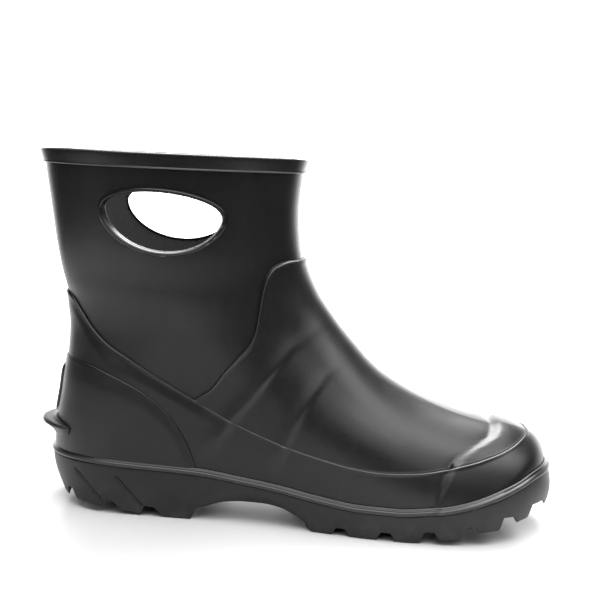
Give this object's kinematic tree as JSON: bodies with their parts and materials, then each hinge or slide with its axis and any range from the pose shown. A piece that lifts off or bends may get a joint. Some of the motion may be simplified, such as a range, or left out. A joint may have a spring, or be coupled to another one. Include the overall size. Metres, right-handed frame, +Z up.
{
  "type": "rubber rain boot",
  "caption": "Short pull-on rubber rain boot for the right foot, with hand openings in the shaft, a kick-off ledge at the heel and a lugged sole.",
  "frame": {"origin": "on the ground, under the middle of the boot's bounding box", "axes": "+X towards the toe, +Z up, -Y towards the outer side of the foot"},
  "size_m": [0.3016, 0.1126, 0.2011],
  "materials": {
    "black_rubber": "satin",
    "trim_rubber": "satin",
    "sole_rubber": "matte",
    "sponge_rubber": "matte",
    "knit_lining": "knitted",
    "core_plastic": "matte",
    "shank_steel": "rolled",
    "fibre_board": "pressed fibre",
    "footbed_felt": "felt"
  },
  "bodies": {
    "boot": {"upper": "black_rubber", "vamp": "black_rubber", "galosh": "black_rubber", "counter": "black_rubber", "backstay": "black_rubber", "toe_cap": "black_rubber", "rim_band": "trim_rubber", "grip_ring_lateral": "trim_rubber", "grip_ring_medial": "trim_rubber", "heel_spur": "sole_rubber", "welt_strip": "trim_rubber", "outsole": "sole_rubber", "lining": "knit_lining", "midsole": "sponge_rubber", "heel_core": "core_plastic", "shank": "shank_steel", "insole_board": "fibre_board"},
    "insole": {"footbed": "footbed_felt"}
  },
  "joints": [
    {"name": "footbed_lift", "type": "hinge", "parent": "boot", "child": "insole", "pos_m": [0.137, 0, 0.0268], "axis": [0, 1, 0], "range_deg": [0, 10]}
  ]
}
